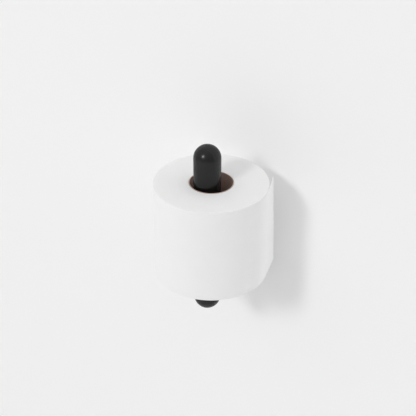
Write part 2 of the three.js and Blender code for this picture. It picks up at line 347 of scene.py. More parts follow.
def bumped(tree, height, distance, strength=1.0, before=None):
    """A bump's normal, added on top of another's if one is given."""
    node = add_node(tree, "ShaderNodeBump", Height=height, Distance=distance, Strength=strength)
    if before is not None:
        tree.links.new(before, node.inputs["Normal"])
    return node.outputs["Normal"]


# ---------------------------------------------------------------- materials

def make_powder_coat(colour):
    """Fine matte black powder coat: a soft orange peel with a fine grain in it."""
    material, tree, shader = start_material("powder coat")
    where = centred_coordinates(tree, PIN_AXIS)
    grain = speckle(tree, where, 1700, 2)
    peel = speckle(tree, where, 420, 2)
    cloud = speckle(tree, where, 60, 3)
    normal = bumped(tree, peel, 0.05 * MM, 0.5)
    fill(tree, shader, Base_Color=toned(tree, shared(tree, grain, cloud, 0.5), colour, 0.75, 1.3),
         Roughness=between(tree, grain, 0.46, 0.56), Normal=bumped(tree, grain, 0.03 * MM, 0.5, normal),
         Coat_Normal=normal, Specular_IOR_Level=0.04, Coat_Weight=0.36, Coat_IOR=1.8, Coat_Roughness=0.25)
    return material


def make_zinc(colour):
    """Bright zinc plate with fine turning marks and cloudy passivation."""
    material, tree, shader = start_material("zinc plate")
    where = centred_coordinates(tree, PIN_AXIS)
    cloud = speckle(tree, where, 180, 4)
    marks = speckle(tree, where, 2600, 2)
    fill(tree, shader, Base_Color=toned(tree, cloud, colour, 0.82, 1.1),
         Roughness=between(tree, cloud, 0.24, 0.42), Normal=bumped(tree, marks, 0.02 * MM, 0.4), Metallic=1.0)
    return material


def make_nylon(colour):
    """Natural nylon, slightly waxy."""
    material, tree, shader = start_material("nylon")
    where = centred_coordinates(tree, PIN_AXIS)
    cloud = speckle(tree, where, 90, 3)
    fine = speckle(tree, where, 1500, 2)
    fill(tree, shader, Base_Color=toned(tree, cloud, colour, 0.95, 1.04),
         Roughness=between(tree, fine, 0.38, 0.52), Normal=bumped(tree, fine, 0.02 * MM, 0.4))
    return material


def make_rubber(colour):
    """Matte black rubber with a dusty grain."""
    material, tree, shader = start_material("rubber")
    fine = speckle(tree, centred_coordinates(tree, PIN_AXIS), 1200, 3)
    fill(tree, shader, Base_Color=toned(tree, fine, colour, 0.8, 1.5),
         Roughness=between(tree, fine, 0.7, 0.9), Normal=bumped(tree, fine, 0.04 * MM, 0.5))
    return material


EMBOSS_ROUND = 132        # embossed dimples round the roll
EMBOSS_RISE = 5.6 * MM    # height of one row of dimples


def make_tissue(colour):
    """Tissue: fibres, a soft crepe across the sheet and faint embossed dimples."""
    material, tree, shader = start_material("tissue")
    where, parts, angle = roll_coordinates(tree)
    across = maths(tree, "SINE", maths(tree, "MULTIPLY", angle, EMBOSS_ROUND / 2))
    up = maths(tree, "SINE", maths(tree, "MULTIPLY", parts["Z"], 2 * math.pi / EMBOSS_RISE))
    dimples = maths(tree, "SMOOTH_MAX", maths(tree, "MULTIPLY", across, up), 0.2, 0.4)
    fibres = speckle(tree, where, 900, 5, 0.65)
    clouds = speckle(tree, where, 45, 3)
    crepe = speckle(tree, stretched(tree, where, 0.12), 1500, 2)
    normal = bumped(tree, dimples, 0.05 * MM, 0.25)
    normal = bumped(tree, crepe, 0.03 * MM, 0.3, normal)
    fill(tree, shader, Base_Color=toned(tree, shared(tree, fibres, clouds, 0.35), colour, 0.975, 1.02),
         Normal=bumped(tree, fibres, 0.03 * MM, 0.35, normal), Roughness=0.92, Specular_IOR_Level=0.2)
    return material


LAYER_PITCH = 0.55 * MM   # visible layers on the roll's ends


def make_tissue_ends(colour):
    """The roll's ends: the edges of the wound layers, seen as fine rings."""
    material, tree, shader = start_material("tissue ends")
    where, parts, angle = roll_coordinates(tree)
    wobble = maths(tree, "MULTIPLY", speckle(tree, where, 60, 3), 1.6 * MM)
    radius = maths(tree, "ADD", flat_distance(tree, parts), wobble)
    turns = spiral_turns(tree, "SUBTRACT", radius, LAYER_PITCH, angle)
    layers = maths(tree, "SINE", maths(tree, "MULTIPLY", turns, 2 * math.pi))
    fibres = speckle(tree, where, 1100, 4, 0.6)
    broken = maths(tree, "MULTIPLY", layers, between(tree, speckle(tree, where, 140, 2), 0.2, 1.0))
    tone = maths(tree, "ADD", maths(tree, "MULTIPLY", broken, 0.25), fibres)
    normal = bumped(tree, broken, 0.05 * MM, 0.35)
    fill(tree, shader, Base_Color=toned(tree, tone, colour, 0.955, 1.015),
         Normal=bumped(tree, fibres, 0.05 * MM, 0.4, normal), Roughness=0.97, Specular_IOR_Level=0.1)
    return material


SEAM_SHARPNESS = 70       # the seam's dark line fades out in 1 / 70 of its pitch


def make_board(colour, seam_pitch):
    """Grey-brown core board: flecks and fibres along the spiral, a darker line at the seam."""
    material, tree, shader = start_material("core board")
    where, parts, angle = roll_coordinates(tree)
    from_seam = maths(tree, "PINGPONG", spiral_turns(tree, "ADD", parts["Z"], seam_pitch, angle), 0.5)
    seam = maths(tree, "SUBTRACT", 1.0, maths(tree, "MULTIPLY", from_seam, SEAM_SHARPNESS), clamp=True)
    fibres = speckle(tree, stretched(tree, where, 2.6), 480, 5, 0.7)
    flecks = speckle(tree, where, 1500, 2)
    blotches = speckle(tree, where, 70, 3)
    body = toned(tree, shared(tree, fibres, blotches, 0.55), colour, 0.68, 1.32)
    normal = bumped(tree, flecks, 0.03 * MM, 0.4)
    fill(tree, shader,
         Base_Color=colour_between(tree, maths(tree, "MULTIPLY", seam, 0.6), body, scaled(colour, 0.4)),
         Normal=bumped(tree, fibres, 0.06 * MM, 0.5, normal), Roughness=0.88, Specular_IOR_Level=0.25)
    return material


def make_board_edge(colour):
    """The core's cut rim, lighter and fluffier than its inside."""
    material, tree, shader = start_material("core board edge")
    fibres = speckle(tree, centred_coordinates(tree, ROLL_AXIS), 1400, 4, 0.7)
    fill(tree, shader, Base_Color=toned(tree, fibres, colour, 0.75, 1.25),
         Normal=bumped(tree, fibres, 0.06 * MM, 0.5), Roughness=0.95)
    return material


FINISHES = {
    "powder coat": (make_powder_coat, "coat"),
    "zinc plate": (make_zinc, "zinc"),
    "nylon": (make_nylon, "nylon"),
    "rubber": (make_rubber, "rubber"),
    "tissue": (make_tissue, "paper"),
    "tissue ends": (make_tissue_ends, "paper"),
    "core board": (make_board, "board"),
    "core board edge": (make_board_edge, "board_edge"),
}


def finish(context, name, *values):
    """The material of that name, made in its own colour unless the scene already has one.

    The frame brings plain materials called nylon and rubber, and those two are used as they are.
    """
    maker, colour = FINISHES[name]
    return bpy.data.materials.get(name) or maker(getattr(context.scene.holder_colours, colour), *values)


# ---------------------------------------------------------------- mesh helpers

def rounded(corners, closed=False):
    """A profile of (radius, height, fillet) corners with each fillet drawn as an arc."""
    points = []
    count = len(corners)
    for index, (radius, height, fillet) in enumerate(corners):
        here = Vector((radius, height))
        at_end = not closed and index in (0, count - 1)
        if fillet <= 0 or at_end:
            points.append(tuple(here))
            continue
        back = (Vector(corners[index - 1][:2]) - here).normalized()
        on = (Vector(corners[(index + 1) % count][:2]) - here).normalized()
        half = back.angle(on) / 2
        reach = fillet / math.tan(half)
        centre = here + (back + on).normalized() * (fillet / math.sin(half))
        start = here + back * reach - centre
        end = here + on * reach - centre
        for step in range(FILLET_STEPS + 1):
            share = step / FILLET_STEPS
            points.append(tuple(centre + start.slerp(end, share).normalized() * fillet))
    return points


def arc(radius, centre_height, start, end, steps):
    """Profile points on a circle about the axis, between two angles in degrees."""
    points = []
    for step in range(steps + 1):
        angle = math.radians(start + (end - start) * step / steps)
        points.append((radius * math.cos(angle), centre_height + radius * math.sin(angle)))
    return points


def lathe(rows, sides=TURNED_SIDES, closed=False):
    """A turned mesh about +Z. A row is (radius, height), or a function of the angle that gives both.

    A row with radius 0 is a pole. A closed profile joins its last row to its first.
    """
    body = bmesh.new()
    rings = []
    for row in rows:
        if not callable(row) and row[0] < 1e-7:
            rings.append([body.verts.new((0, 0, row[1]))])
            continue
        ring = []
        for side in range(sides):
            angle = 2 * math.pi * side / sides
            radius, height = row(angle) if callable(row) else row
            ring.append(body.verts.new((radius * math.cos(angle), radius * math.sin(angle), height)))
        rings.append(ring)
    pairs = list(zip(rings, rings[1:]))
    if closed:
        pairs.append((rings[-1], rings[0]))
    for low, high in pairs:
        for side in range(sides):
            after = (side + 1) % sides
            corners = [low[side % len(low)], low[after % len(low)],
                       high[after % len(high)], high[side % len(high)]]
            face = list(dict.fromkeys(corners))
            if len(face) > 2:
                body.faces.new(face)
    bmesh.ops.recalc_face_normals(body, faces=body.faces)
    mesh = bpy.data.meshes.new("turned")
    body.to_mesh(mesh)
    body.free()
    return mesh


def turned_ring(inside, outside, bottom, top, edges, sides=TURNED_SIDES):
    """A turned ring; its four fillets run from the inner bottom edge outwards, up and back in."""
    corners = zip((inside, outside, outside, inside), (bottom, bottom, top, top), edges)
    return lathe(rounded(list(corners), closed=True), sides, closed=True)


def drill(radius, start, end):
    """A plain round cutter between two heights."""
    return lathe([(0, start), (radius, start), (radius, end), (0, end)], SMALL_SIDES)


def upright(mesh, centre=PIN_AXIS):
    """Puts a turned mesh on a vertical axis through a point."""
    mesh.transform(Matrix.Translation((centre.x, centre.y, 0)))
    return mesh


def out_from_wall(mesh):
    """Turns a mesh's axis to -Y, so that its heights are distances from the wall."""
    mesh.transform(Matrix.Rotation(math.radians(90), 4, "X"))
    return mesh


def put_in_scene(name, data):
    """A new object at the origin, linked to the scene."""
    made = bpy.data.objects.new(name, data)
    bpy.context.scene.collection.objects.link(made)
    return made


def bored(mesh, *cutters):
    """The mesh with other meshes cut out of it."""
    target = put_in_scene("bored", mesh)
    tools = []
    for cutter in cutters:
        tool = put_in_scene("cutter", cutter)
        modifier = target.modifiers.new("bore", "BOOLEAN")
        modifier.operation = "DIFFERENCE"
        modifier.solver = "EXACT"
        modifier.object = tool
        tools.append(tool)
    result = plain_mesh(target)
    for used in (target, *tools):
        bpy.data.objects.remove(used)
    return result


def plain_mesh(made):
    """What an object's modifiers give, as a mesh of its own."""
    depsgraph = bpy.context.evaluated_depsgraph_get()
    return bpy.data.meshes.new_from_object(made.evaluated_get(depsgraph))


def add_piece(name, mesh, body, nodes, slot, *materials):
    """Puts a finished mesh in the scene as a piece that stands for CAD nodes and rides on a body."""
    mesh.name = name
    piece = put_in_scene(name, mesh)
    if not mesh.materials:
        for material in materials:
            mesh.materials.append(material)
    for face in mesh.polygons:
        face.use_smooth = True
    mesh.set_sharp_from_angle(angle=SMOOTH_BELOW)
    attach(piece, body)
    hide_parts(*nodes)
    return piece


# ---------------------------------------------------------------- geometry node helpers

def start_tree(name, inputs):
    """A geometry node tree with named number inputs, and its group input and output."""
    tree = bpy.data.node_groups.new(name, "GeometryNodeTree")
    tree.interface.new_socket("Geometry", in_out="INPUT", socket_type="NodeSocketGeometry")
    for label, kind in inputs.items():
        tree.interface.new_socket(label, in_out="INPUT", socket_type="NodeSocket" + kind)
    tree.interface.new_socket("Geometry", in_out="OUTPUT", socket_type="NodeSocketGeometry")
    group_in = tree.nodes.new("NodeGroupInput")
    return tree, group_in.outputs


def end_tree(tree, geometry, material):
    """Ends a tree in Realize Instances and Set Material."""
    realised = add_node(tree, "GeometryNodeRealizeInstances", Geometry=geometry)
    painted = add_node(tree, "GeometryNodeSetMaterial",
                       Geometry=realised.outputs["Geometry"], Material=material)
    group_out = tree.nodes.new("NodeGroupOutput")
    tree.links.new(painted.outputs["Geometry"], group_out.inputs["Geometry"])


def grown(tree, **values):
    """The plain mesh that a tree gives for its named inputs; _ in a name stands for a space."""
    carrier = put_in_scene("carrier", bpy.data.meshes.new("carrier"))
    modifier = carrier.modifiers.new("grow", "NODES")
    modifier.node_group = tree
    names = {item.name: item.identifier for item in tree.interface.items_tree if item.in_out == "INPUT"}
    for label, value in values.items():
        modifier[names[label.replace("_", " ")]] = value
    mesh = plain_mesh(carrier)
    bpy.data.objects.remove(carrier)
    return mesh


def polar(tree):
    """The angle, radius and height of each point about the Z axis."""
    position = tree.nodes.new("GeometryNodeInputPosition")
    parts = add_node(tree, "ShaderNodeSeparateXYZ", Vector=position.outputs["Position"]).outputs
    return maths(tree, "ARCTAN2", parts["Y"], parts["X"]), flat_distance(tree, parts), parts["Z"]


def from_polar(tree, angle, radius, height):
    """The point at an angle, radius and height."""
    return add_node(
        tree, "ShaderNodeCombineXYZ",
        X=maths(tree, "MULTIPLY", maths(tree, "COSINE", angle), radius),
        Y=maths(tree, "MULTIPLY", maths(tree, "SINE", angle), radius),
        Z=height,
    ).outputs["Vector"]


RIM_STEPS = 4    # divisions of a swept ring's rounded edges


def swept_ring(tree, inner, outer, height, edge, sides, end_rows, wall_rows):
    """A closed ring about +Z from height 0, with its flat ends and its walls divided into rows."""
    width = maths(tree, "SUBTRACT", outer, inner)
    section = add_node(tree, "GeometryNodeCurvePrimitiveQuadrilateral", Width=width, Height=height)
    soft = add_node(tree, "GeometryNodeFilletCurve", {"mode": "POLY"}, Curve=section.outputs["Curve"],
                    Count=RIM_STEPS, Radius=edge)
    at = tree.nodes.new("GeometryNodeInputIndex").outputs["Index"]
    per_corner = RIM_STEPS + 1
    is_long = maths(tree, "GREATER_THAN", maths(tree, "MODULO", at, per_corner), per_corner - 1.5)
    is_wall = maths(tree, "GREATER_THAN", maths(tree, "MODULO", at, 2 * per_corner), per_corner - 0.5)
    rows = maths(tree, "MULTIPLY", is_long, between(tree, is_wall, end_rows, wall_rows))
    divided = add_node(tree, "GeometryNodeSubdivideCurve", Curve=soft.outputs["Curve"], Cuts=rows)
    path = add_node(tree, "GeometryNodeCurvePrimitiveCircle", Resolution=sides,
                    Radius=maths(tree, "MULTIPLY", maths(tree, "ADD", inner, outer), 0.5))
    level = add_node(tree, "GeometryNodeSetCurveNormal", {"mode": "Z_UP"}, Curve=path.outputs["Curve"])
    ring = add_node(tree, "GeometryNodeCurveToMesh", Curve=level.outputs["Curve"],
                    Profile_Curve=divided.outputs["Curve"])
    lift = add_node(tree, "ShaderNodeCombineXYZ", Z=maths(tree, "MULTIPLY", height, 0.5))
    return add_node(tree, "GeometryNodeSetPosition", Geometry=ring.outputs["Mesh"],
                    Offset=lift.outputs["Vector"]).outputs["Geometry"]


def moved(tree, geometry, place):
    """The geometry moved to its place."""
    return add_node(tree, "GeometryNodeTransform", Geometry=geometry, Translation=place).outputs["Geometry"]


def reshaped(tree, geometry, position):
    """The geometry with each of its points put at a position."""
    return add_node(tree, "GeometryNodeSetPosition", Geometry=geometry, Position=position).outputs["Geometry"]


def paint_ends(tree, material, steepness):
    """Adds a second Set Material after the tree's last one, for the faces that look up or down."""
    normal = tree.nodes.new("GeometryNodeInputNormal")
    up = add_node(tree, "ShaderNodeSeparateXYZ", Vector=normal.outputs["Normal"]).outputs["Z"]
    where = maths(tree, "GREATER_THAN", maths(tree, "ABSOLUTE", up), steepness)
    group_out = next(node for node in tree.nodes if node.bl_idname == "NodeGroupOutput")
    before = group_out.inputs["Geometry"].links[0].from_socket
    second = add_node(tree, "GeometryNodeSetMaterial", Geometry=before, Selection=where, Material=material)
    tree.links.new(second.outputs["Geometry"], group_out.inputs["Geometry"])


# ---------------------------------------------------------------- pin and hub

def make_upper_pin(sizes):
    """The upper pin: a tube, open below, that ends in a dome."""
    low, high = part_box("upper_pin")
    inside = PIN_RADIUS - sizes.tube_wall
    dome = high.z - PIN_RADIUS
    fillet = sizes.coat_fillet
    foot = rounded([(inside, dome, 0), (inside, low.z, HOLE_EDGE),
                    (PIN_RADIUS, low.z, fillet), (PIN_RADIUS, dome, 0)])
    rows = arc(inside, dome, 90, 0, DOME_STEPS)[:-1] + foot[:-1] + arc(PIN_RADIUS, dome, 0, 90, DOME_STEPS)
    return upright(lathe(rows))


def make_lower_pin(sizes):
    """The lower pin: solid, with a round end below and a socket for its insert above."""
    low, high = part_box("lower_pin")
    socket = radius_of("lower_insert") + JOINT_GAP
    socket_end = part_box("lower_insert")[0].z - TIP_ROOM
    top = rounded([(PIN_RADIUS, low.z + PIN_RADIUS, 0), (PIN_RADIUS, high.z, sizes.coat_fillet),
                   (socket, high.z, HOLE_EDGE), (socket, socket_end, 0)])
    rows = arc(PIN_RADIUS, low.z + PIN_RADIUS, -90, 0, DOME_STEPS)[:-1] + top + [(0, socket_end)]
    return upright(lathe(rows))


def make_hub(sizes):
    """The hub, bored through for the tie rod and from the wall's side for its stud."""
    low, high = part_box("hub")
    edges = (HOLE_EDGE, sizes.coat_fillet, sizes.coat_fillet, HOLE_EDGE)
    body = upright(turned_ring(THREAD_HOLE, PIN_RADIUS, low.z, high.z, edges))
    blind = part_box("hub_stud")[0].y - JOINT_GAP
    return bored(body, out_from_wall(drill(THREAD_HOLE, PIN_RADIUS, -blind)))


class HOLDER_OT_make_pin(bpy.types.Operator):
    """Make the upright pin in two round-ended halves, and the hub between them"""

    bl_idname = "holder.make_pin"
    bl_label = "Pin and Hub"

    def execute(self, context):
        sizes = context.scene.holder_sizes
        coat = finish(context, "powder coat")
        add_piece("pin_upper", make_upper_pin(sizes), "holder", ["upper_pin"], "coated_steel", coat)
        add_piece("pin_lower", make_lower_pin(sizes), "holder", ["lower_pin"], "coated_steel", coat)
        add_piece("pin_hub", make_hub(sizes), "holder", ["hub"], "coated_steel", coat)
        return {"FINISHED"}


# ---------------------------------------------------------------- arm and rosette

def make_arm(sizes):
    """A round bar, bored at both ends and coped to the hub, that flares a little where it meets it."""
    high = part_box("arm")[1]
    radius = radius_of("arm")
    start = -high.y
    reach = PIN_RADIUS + JOINT_GAP
    stud_hole, end_fillet, straight = 16 * MM, 0.4 * MM, 5 * MM
    flare_steps = 7
    flare_length = 1.6    # in widths of the flare

    def coped(size, before):
        """A row that stays a distance before the hub's round side."""
        def row(angle):
            across = size * math.cos(angle)
            return size, -PIN_AXIS.y - math.sqrt(reach ** 2 - across ** 2) - before
        return row

    wall_hole_end = start + stud_hole
    hub_hole_end = -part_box("hub_stud")[1].y - TIP_ROOM
    rows = [(0, wall_hole_end), (THREAD_HOLE, wall_hole_end), (THREAD_HOLE, start)]
    rows += rounded([(THREAD_HOLE, start, 0), (radius, start, end_fillet), (radius, start + straight, 0)])[1:]
    flare = sizes.weld_flare
    for step in range(flare_steps + 1):
        angle = math.radians(90 * step / flare_steps)
        wider = flare * (1 - math.cos(angle))
        rows.append(coped(radius + wider, flare * (flare_length - flare_length * math.sin(angle))))
    rows += [coped(THREAD_HOLE, 0.0), (THREAD_HOLE, hub_hole_end), (0, hub_hole_end)]
    return out_from_wall(lathe(rows))


def make_rosette(sizes):
    """The cup against the wall, with the set screw's hole underneath."""
    low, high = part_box("rosette")
    outside = radius_of("rosette")
    rim, front = -high.y, -low.y
    wall = 3 * MM
    inside = outside - wall
    cup_floor = front - wall
    cup = lathe(rounded([
        (inside, rim, 0.3 * MM), (outside, rim, 0.3 * MM), (outside, front, 2 * MM),
        (THREAD_HOLE, front, HOLE_EDGE), (THREAD_HOLE, cup_floor, HOLE_EDGE), (inside, cup_floor, 0.5 * MM),
    ], closed=True), closed=True)
    hole = drill(radius_of("rosette_set_screw") + JOINT_GAP, -2 * outside, -inside + 2 * MM)
    return bored(out_from_wall(cup), upright(hole, middle("rosette_set_screw")))


class HOLDER_OT_make_arm(bpy.types.Operator):
    """Make the arm and the rosette that covers its fixing"""

    bl_idname = "holder.make_arm"
    bl_label = "Arm and Rosette"

    def execute(self, context):
        sizes = context.scene.holder_sizes
        coat = finish(context, "powder coat")
        add_piece("arm_bar", make_arm(sizes), "holder", ["arm"], "coated_steel", coat)
        add_piece("rosette_cup", make_rosette(sizes), "holder", ["rosette"], "coated_steel", coat)
        return {"FINISHED"}


# ---------------------------------------------------------------- wall fixing, screws and studs

GROOVE_SLOPE = 2.6     # a groove is gone 1 / 2.6 of a pitch from its bottom
ROWS_PER_PITCH = 8


def make_thread_tree(material):
    """A threaded rod from height 0 upwards: rings of points whose radius follows a helix."""
    tree, inputs = start_tree("Threaded rod", {
        "Radius": "Float", "Length": "Float", "Pitch": "Float", "Depth": "Float",
        "Rows": "Int", "Sides": "Int", "Turn": "Vector", "Place": "Vector",
    })
    end = add_node(tree, "ShaderNodeCombineXYZ", Z=inputs["Length"])
    line = add_node(tree, "GeometryNodeCurvePrimitiveLine", End=end.outputs["Vector"])
    steps = add_node(tree, "GeometryNodeResampleCurve", Curve=line.outputs["Curve"], Count=inputs["Rows"])
    section = add_node(tree, "GeometryNodeCurvePrimitiveCircle", Resolution=inputs["Sides"],
                       Radius=inputs["Radius"])
    rod = add_node(tree, "GeometryNodeCurveToMesh", Curve=steps.outputs["Curve"],
                   Profile_Curve=section.outputs["Curve"])
    rod.inputs["Fill Caps"].default_value = True
    angle, radius, height = polar(tree)
    crest = maths(tree, "PINGPONG", spiral_turns(tree, "SUBTRACT", height, inputs["Pitch"], angle), 0.5)
    groove = maths(tree, "SUBTRACT", 1.0, maths(tree, "MULTIPLY", crest, GROOVE_SLOPE), clamp=True)
    from_end = maths(tree, "MINIMUM", height, maths(tree, "SUBTRACT", inputs["Length"], height))
    lead_in = maths(tree, "SUBTRACT", inputs["Depth"], from_end, clamp=True)
    depth = maths(tree, "MAXIMUM", maths(tree, "MULTIPLY", groove, inputs["Depth"]), lead_in)
    place = from_polar(tree, angle, maths(tree, "SUBTRACT", radius, depth), height)
    put = add_node(tree, "GeometryNodeTransform", Geometry=reshaped(tree, rod.outputs["Mesh"], place),
                   Rotation=inputs["Turn"], Translation=inputs["Place"])
    end_tree(tree, put.outputs["Geometry"], material)
    return tree


def make_threaded(tree, sizes, node):
    """One threaded rod in the place of an upright or level CAD node."""
    low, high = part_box(node)
    level = high.y - low.y > high.z - low.z
    length = high.y - low.y if level else high.z - low.z
    centre = (low + high) / 2
    return grown(
        tree,
        Radius=THREAD_RADIUS, Length=length, Pitch=sizes.thread_pitch, Depth=sizes.thread_depth,
        Rows=int(length / sizes.thread_pitch * ROWS_PER_PITCH), Sides=SMALL_SIDES,
        Turn=(math.radians(90), 0, 0) if level else (0, 0, 0),
        Place=(centre.x, high.y, centre.z) if level else (centre.x, centre.y, low.z),
    )


def make_nut():
    """A hexagon nut with its corners chamfered by a cone at both ends."""
    low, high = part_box("stud_nut")
    near, far = -high.y, -low.y
    apothem = (high.z - low.z) / 2
    flat = 0.96 * apothem
    slope = math.tan(math.radians(30))
    chamfer = 0.4 * MM
    sides = 72
    half_side = math.radians(30)

    def hexagon(angle):
        return apothem / math.cos((angle + half_side) % (2 * half_side) - half_side)

    def low_corner(angle):
        return hexagon(angle), near + (hexagon(angle) - flat) * slope

    def high_corner(angle):
        return hexagon(angle), far - (hexagon(angle) - flat) * slope

    rows = [(THREAD_HOLE, near + chamfer), (THREAD_HOLE + chamfer, near), (flat, near), low_corner,
            high_corner, (flat, far), (THREAD_HOLE + chamfer, far), (THREAD_HOLE, far - chamfer)]
    mesh = lathe(rows, sides, closed=True)
    mesh.transform(Matrix.Rotation(half_side, 4, "Z"))
    return out_from_wall(mesh)


def make_wall_plate():
    """The plate under the rosette, with two countersunk holes for wall screws."""
    low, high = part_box("wall_plate")
    outside = radius_of("wall_plate")
    thickness = high.y - low.y
    hole, head, margin = 1.9 * MM, 3.8 * MM, 1.5 * MM
    spacing = outside - head - margin
    plate = lathe(rounded([(0, 0, 0), (outside, 0, 0.3 * MM), (outside, thickness, 0.6 * MM),
                           (0, thickness, 0)]))
    sinks = []
    for side in (-1, 1):
        sink = lathe([(0, -1 * MM), (hole, -1 * MM), (hole, thickness - head + hole),
                      (head, thickness), (head, thickness + 1 * MM), (0, thickness + 1 * MM)], SMALL_SIDES)
        sinks.append(out_from_wall(upright(sink, Vector((side * spacing, 0, 0)))))
    return bored(out_from_wall(plate), *sinks)


def make_set_screw():
    """The set screw, pointing up into the plate's edge, with its hexagon socket below."""
    low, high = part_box("rosette_set_screw")
    centre = middle("rosette_set_screw")
    radius = radius_of("rosette_set_screw")
    key, key_depth, lead = 1.155 * MM, 1.8 * MM, 0.4 * MM
    body = lathe([(0, low.z), (radius - lead, low.z), (radius, low.z + lead),
                  (radius, high.z - lead), (radius - lead, high.z), (0, high.z)], SMALL_SIDES)
    socket = lathe([(0, low.z - key_depth), (key, low.z - key_depth), (key, low.z + key_depth),
                    (0, low.z + key_depth + 0.3 * MM)], 6)
    return bored(upright(body, centre), upright(socket, centre))


def make_plug():
    """The threaded plug that closes the upper pin's tube."""
    low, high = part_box("upper_plug")
    edges = (0.3 * MM, 0.4 * MM, 0.8 * MM, 0.3 * MM)
    return upright(turned_ring(THREAD_HOLE, radius_of("upper_plug"), low.z, high.z, edges))


def make_insert():
    """The lower pin's threaded insert, ringed so that it grips."""
    low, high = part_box("lower_insert")
    outside = radius_of("lower_insert")
    groove, count = 0.3 * MM, 4
    rows = [(THREAD_HOLE, low.z), (outside - groove, low.z)]
    pitch = (high.z - low.z) / count
    for turn in range(count):
        base = low.z + turn * pitch
        rows += [(outside, base + groove), (outside, base + pitch - 2 * groove),
                 (outside - groove, base + pitch - groove)]
    rows += [(outside - groove, high.z), (THREAD_HOLE, high.z)]
    return upright(lathe(rows, closed=True))


def make_washer():
    """The washer under the stud's nut."""
    low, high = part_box("stud_washer")
    edges = (0.15 * MM, 0.15 * MM, 0.35 * MM, 0.15 * MM)
    return out_from_wall(turned_ring(THREAD_HOLE, radius_of("stud_washer"), -high.y, -low.y, edges))


class HOLDER_OT_make_fixings(bpy.types.Operator):
    """Make the wall plate, the studs and tie rod with their threads, and the small fixings"""

    bl_idname = "holder.make_fixings"
    bl_label = "Plate, Studs and Screws"

    def execute(self, context):
        sizes = context.scene.holder_sizes
        zinc = finish(context, "zinc plate")
        tree = make_thread_tree(zinc)
        for node in ("tie_rod", "hub_stud", "wall_stud"):
            rod = make_threaded(tree, sizes, node)
            add_piece(node + "_thread", rod, "holder", [node], "zinc_steel", zinc)
        makers = {
            "wall_plate": make_wall_plate, "rosette_set_screw": make_set_screw, "stud_nut": make_nut,
            "stud_washer": make_washer, "upper_plug": make_plug, "lower_insert": make_insert,
        }
        for node, maker in makers.items():
            add_piece(node + "_part", maker(), "holder", [node], "zinc_steel", zinc)
        return {"FINISHED"}


# ---------------------------------------------------------------- seat, slip ring and soft washers

def make_seat(sizes):
    """The disc that carries the roll, rounder below than above."""
    low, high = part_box("seat_disc")
    edges = (HOLE_EDGE, 2 * sizes.coat_fillet, sizes.coat_fillet, HOLE_EDGE)
    return upright(turned_ring(THREAD_HOLE, radius_of("seat_disc"), low.z, high.z, edges, WIDE_SIDES))


def make_slip_ring():
    """A nylon ring with shallow grooves turned in its top, so that the paper doesn't stick."""
    low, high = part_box("slip_ring")
    outside = radius_of("slip_ring")
    room = 1 * MM    # between the ring and the pin
    inside = PIN_RADIUS + room
    grooves, groove_depth, groove_width = 4, 0.35 * MM, 1.1 * MM
    corners = [(inside, low.z, 0.3 * MM), (outside, low.z, 0.4 * MM), (outside, high.z, 0.4 * MM)]
    land = (outside - inside) / (grooves + 1)
    for groove in range(grooves):
        centre = outside - (groove + 1) * land
        corners += [(centre + groove_width / 2, high.z, 0.1 * MM),
                    (centre + groove_width / 4, high.z - groove_depth, 0.1 * MM),
                    (centre - groove_width / 4, high.z - groove_depth, 0.1 * MM),
                    (centre - groove_width / 2, high.z, 0.1 * MM)]
    corners.append((inside, high.z, 0.3 * MM))
    return upright(lathe(rounded(corners, closed=True), WIDE_SIDES, closed=True))


def make_shim(node):
    """A thin washer between two coated joints."""
    low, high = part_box(node)
    edges = (0.1 * MM, 0.2 * MM, 0.2 * MM, 0.1 * MM)
    return upright(turned_ring(THREAD_HOLE, radius_of(node), low.z, high.z, edges))


def make_gasket():
    """The soft ring between the rosette's rim and the wall."""
    low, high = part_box("wall_gasket")
    outside = radius_of("wall_gasket")
    width = 2.2 * MM
    edges = (0.1 * MM, 0.1 * MM, 0.2 * MM, 0.2 * MM)
    return out_from_wall(turned_ring(outside - width, outside, -high.y, -low.y, edges))


class HOLDER_OT_make_seat(bpy.types.Operator):
    """Make the seat disc, the slip ring on it, the shims and the wall gasket"""

    bl_idname = "holder.make_seat"
    bl_label = "Seat and Rings"

    def execute(self, context):
        sizes = context.scene.holder_sizes
        nylon = finish(context, "nylon")
        add_piece("seat_plate", make_seat(sizes), "holder", ["seat_disc"], "coated_steel",
                  finish(context, "powder coat"))
        add_piece("slip_ring_part", make_slip_ring(), "turning_ring", ["slip_ring"], "nylon", nylon)
        for node in ("upper_shim", "lower_shim"):
            add_piece(node + "_part", make_shim(node), "holder", [node], "nylon", nylon)
        add_piece("wall_gasket_ring", make_gasket(), "holder", ["wall_gasket"], "rubber",
                  finish(context, "rubber"))
        return {"FINISHED"}


# ---------------------------------------------------------------- roll

CORE_SIDES = 160
CORE_END_ROWS = 1
CORE_WALL_ROWS = 60
CORE_WALL = 0.8 * MM
CORE_EDGE = 0.1 * MM
CORE_STANDS_OUT = 0.15 * MM    # how far the core's rim stands above the paper
SEAM_STEP = 0.3 * MM           # step inside the core where its board overlaps
ROLL_SIDES = 256
ROLL_END_ROWS = 40
ROLL_WALL_ROWS = 12
RUFFLE_PITCH = 1.05 * MM       # layers that stand up or down together
RUFFLE_ROUND = 0.9             # how fast the ruffle changes round the roll
RUFFLE_ACROSS = 0.8            # and from one layer to the next
RUFFLED_SHARE = 0.006          # share of the roll's height, at each end, that the ruffle moves


